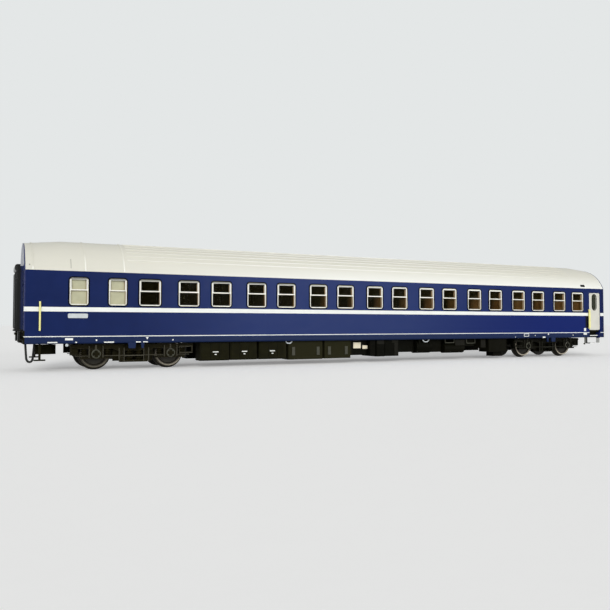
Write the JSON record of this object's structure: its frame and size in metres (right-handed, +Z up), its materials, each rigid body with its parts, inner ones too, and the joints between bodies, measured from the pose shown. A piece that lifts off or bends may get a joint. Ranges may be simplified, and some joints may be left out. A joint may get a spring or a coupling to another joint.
{
  "type": "model railway sleeping coach",
  "caption": "Scale model of a long blue sleeping coach with an arched silver roof, framed windows, swivelling bogies, turning wheelsets and swinging coupler sockets.",
  "frame": {"origin": "bottom centre of the whole model, at the level of the wheel flanges' lowest points", "axes": "+X along the coach towards the end with the entrance doors, +Z up"},
  "size_m": [0.3056, 0.0344, 0.0501],
  "materials": {
    "blue_paint": "satin painted shell",
    "roof_silver": "satin silver paint",
    "frame_silver": "silver hot-foil print",
    "clear_glass": "clear polished",
    "frosted_cream": "satin translucent",
    "door_grey": "satin paint",
    "step_grey": "satin moulded",
    "black_plastic": "moulded, matt",
    "buffer_black": "moulded, satin",
    "black_rubber": "matt",
    "wheel_steel": "turned, darkened face",
    "axle_steel": "turned",
    "ballast_steel": "sheet",
    "cabin_wood": "brown moulded",
    "cabin_floor": "moulded",
    "berth_cloth": "moulded",
    "rail_yellow": "painted"
  },
  "bodies": {
    "coach_body": {"side_wall_right": "blue_paint", "side_wall_left": "blue_paint", "end_wall_front": "blue_paint", "end_wall_rear": "blue_paint", "roof": "roof_silver", "window_frames_right": "frame_silver", "window_frames_left": "frame_silver", "window_glass_right": "clear_glass", "window_glass_left": "clear_glass", "frosted_panes_right": "frosted_cream", "frosted_panes_left": "frosted_cream", "entrance_door_right": "door_grey", "entrance_door_left": "door_grey", "gangway_door_front": "door_grey", "gangway_door_rear": "door_grey", "entrance_steps": "step_grey", "cabinet_handles": "step_grey", "underframe": "black_plastic", "headstock_front": "black_plastic", "headstock_rear": "black_plastic", "corner_steps": "black_plastic", "footplate_front": "black_plastic", "footplate_rear": "black_plastic", "battery_boxes": "black_plastic", "equipment_cabinets": "black_plastic", "equipment_lockers": "black_plastic", "water_tanks": "black_plastic", "alternator": "black_plastic", "buffers_front": "buffer_black", "buffers_rear": "buffer_black", "gangway_tubes_front": "black_rubber", "gangway_tubes_rear": "black_rubber", "brake_hose_front": "black_rubber", "brake_hose_rear": "black_rubber", "ballast_plate": "ballast_steel", "corridor_wall": "cabin_wood", "partitions": "cabin_wood", "inner_floor": "cabin_floor", "berths": "berth_cloth", "handrails": "rail_yellow"},
    "bogie_front": {"bogie_frame_front": "black_plastic", "axle_boxes_front": "black_plastic", "bogie_springs_front": "black_plastic", "brake_gear_front": "black_plastic"},
    "bogie_rear": {"bogie_frame_rear": "black_plastic", "axle_boxes_rear": "black_plastic", "bogie_springs_rear": "black_plastic", "brake_gear_rear": "black_plastic"},
    "wheelset_1": {"wheels_1": "wheel_steel", "axle_1": "axle_steel"},
    "wheelset_2": {"wheels_2": "wheel_steel", "axle_2": "axle_steel"},
    "wheelset_3": {"wheels_3": "wheel_steel", "axle_3": "axle_steel"},
    "wheelset_4": {"wheels_4": "wheel_steel", "axle_4": "axle_steel"},
    "coupler_front_arm": {"coupler_front": "black_plastic"},
    "coupler_rear_arm": {"coupler_rear": "black_plastic"}
  },
  "joints": [
    {"name": "bogie_front_swivel", "type": "hinge", "parent": "coach_body", "child": "bogie_front", "pos_m": [0.11, 0, 0.0098], "axis": [0, 0, 1], "range_deg": [-18, 18]},
    {"name": "bogie_rear_swivel", "type": "hinge", "parent": "coach_body", "child": "bogie_rear", "pos_m": [-0.11, 0, 0.0098], "axis": [0, 0, -1], "range_deg": [-18, 18]},
    {"name": "wheelset_1_spin", "type": "hinge", "parent": "bogie_front", "child": "wheelset_1", "pos_m": [0.12435, 0, 0.00625], "axis": [0, 1, 0], "continuous": true},
    {"name": "wheelset_2_spin", "type": "hinge", "parent": "bogie_front", "child": "wheelset_2", "pos_m": [0.09565, 0, 0.00625], "axis": [0, 1, 0], "continuous": true},
    {"name": "wheelset_3_spin", "type": "hinge", "parent": "bogie_rear", "child": "wheelset_3", "pos_m": [-0.09565, 0, 0.00625], "axis": [0, 1, 0], "continuous": true},
    {"name": "wheelset_4_spin", "type": "hinge", "parent": "bogie_rear", "child": "wheelset_4", "pos_m": [-0.12435, 0, 0.00625], "axis": [0, 1, 0], "continuous": true},
    {"name": "coupler_front_swing", "type": "hinge", "parent": "coach_body", "child": "coupler_front_arm", "pos_m": [0.1396, 0, 0.0098], "axis": [0, 0, 1], "range_deg": [-15, 15]},
    {"name": "coupler_rear_swing", "type": "hinge", "parent": "coach_body", "child": "coupler_rear_arm", "pos_m": [-0.1396, 0, 0.0098], "axis": [0, 0, -1], "range_deg": [-15, 15]}
  ]
}
